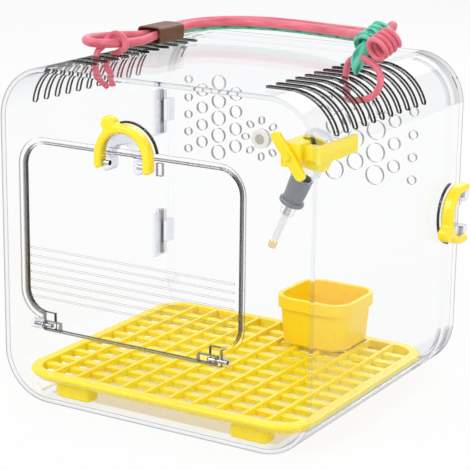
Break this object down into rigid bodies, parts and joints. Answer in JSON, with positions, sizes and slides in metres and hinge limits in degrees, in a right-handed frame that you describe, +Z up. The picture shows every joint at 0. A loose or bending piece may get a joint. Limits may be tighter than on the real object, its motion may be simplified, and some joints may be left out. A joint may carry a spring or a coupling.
{
  "type": "small pet carrier",
  "caption": "Clear rounded travel cage with a yellow floor grate, food cup and drinker, arch latches, a drop-down door and a knotted rope handle.",
  "frame": {"origin": "centre of the flat underside, mid-width of the body and mid-depth with the cover closed", "axes": "+Z up, the door faces -Y, +X to the right seen from the front"},
  "size_m": [0.2707, 0.2464, 0.2792],
  "materials": {
    "clear_plastic": "clear polished",
    "bottle_plastic": "clear polished",
    "yellow_plastic": "smooth moulded",
    "grey_plastic": "satin moulded",
    "white_plastic": "smooth moulded",
    "white_rubber": "matte",
    "steel": "bright drawn",
    "tube_steel": "polished",
    "gold_metal": "polished",
    "pink_cord": "round sleeved cord",
    "mint_cord": "fine braid",
    "brown_leather": "smooth hide"
  },
  "bodies": {
    "shell": {"front_frame": "clear_plastic", "shell_tub": "clear_plastic", "door_hinge_lug_left": "clear_plastic", "door_hinge_lug_right": "clear_plastic", "door_hinge_pin_left": "steel", "door_hinge_pin_right": "steel", "front_keeper": "clear_plastic", "side_keeper": "clear_plastic", "front_guard": "clear_plastic", "side_guard": "clear_plastic", "hinge_bracket_lower": "clear_plastic", "hinge_bracket_upper": "clear_plastic", "rear_hinge_pin_lower": "steel", "rear_hinge_pin_upper": "steel", "bottle_bracket": "yellow_plastic", "lever_pin": "yellow_plastic", "handle_rope": "pink_cord", "hitch_loop": "pink_cord", "ring_loop": "pink_cord", "pink_coil": "pink_cord", "mint_strand": "mint_cord", "mint_coil": "mint_cord", "knot_tail": "mint_cord", "rope_sleeve": "brown_leather"},
    "cover": {"rear_cover": "clear_plastic", "hinge_knuckle_lower": "clear_plastic", "hinge_knuckle_upper": "clear_plastic", "side_post_a": "clear_plastic", "side_post_b": "clear_plastic", "side_latch_pin_a": "steel", "side_latch_pin_b": "steel", "vent_grommet": "white_plastic", "grommet_plug": "grey_plastic"},
    "door": {"front_door": "clear_plastic", "front_post_a": "clear_plastic", "front_post_b": "clear_plastic", "front_latch_pin_a": "steel", "front_latch_pin_b": "steel"},
    "door_latch": {"front_latch": "yellow_plastic"},
    "cover_latch": {"side_latch": "yellow_plastic"},
    "grate": {"grate_rim": "yellow_plastic", "grate_bars": "yellow_plastic", "grate_foot_front_left": "yellow_plastic", "grate_foot_back_left": "yellow_plastic", "grate_foot_front_right": "yellow_plastic", "grate_foot_back_right": "yellow_plastic"},
    "cup": {"food_cup": "yellow_plastic"},
    "bottle": {"bottle_body": "bottle_plastic", "bottle_cap": "grey_plastic", "bottle_seal": "white_rubber", "tube_collar": "bottle_plastic", "sipper_tube": "tube_steel", "tube_tip": "gold_metal"},
    "ball": {"sipper_ball": "gold_metal"},
    "lever": {"clamp_lever": "yellow_plastic"}
  },
  "joints": [
    {"name": "cover_hinge", "type": "hinge", "parent": "shell", "child": "cover", "pos_m": [-0.13, 0.098, 0.125], "axis": [0, 0, 1], "range_deg": [0, 110]},
    {"name": "door_hinge", "type": "hinge", "parent": "shell", "child": "door", "pos_m": [-0.0142, -0.118, 0.0611], "axis": [1, 0, 0], "range_deg": [0, 105]},
    {"name": "door_latch_pivot", "type": "hinge", "parent": "door", "child": "door_latch", "pos_m": [-0.0135, -0.1235, 0.1863], "axis": [1, 0, 0], "range_deg": [0, 170]},
    {"name": "cover_latch_pivot", "type": "hinge", "parent": "cover", "child": "cover_latch", "pos_m": [0.132, 0.1021, 0.1268], "axis": [0, 0, 1], "range_deg": [0, 170]},
    {"name": "grate_lift", "type": "slide", "parent": "shell", "child": "grate", "axis": [0, 0, 1], "range_m": [0, 0.025]},
    {"name": "cup_lift", "type": "slide", "parent": "grate", "child": "cup", "axis": [0, 0, 1], "range_m": [0, 0.06]},
    {"name": "bottle_slide", "type": "slide", "parent": "shell", "child": "bottle", "axis": [-0.4067, 0, -0.9135], "range_m": [0, 0.025]},
    {"name": "ball_lift", "type": "slide", "parent": "bottle", "child": "ball", "axis": [0.4067, 0, 0.9135], "range_m": [0, 0.0008]},
    {"name": "lever_pivot", "type": "hinge", "parent": "shell", "child": "lever", "pos_m": [0.0975, -0.099, 0.2015], "axis": [0, 1, 0], "range_deg": [0, 80]}
  ]
}
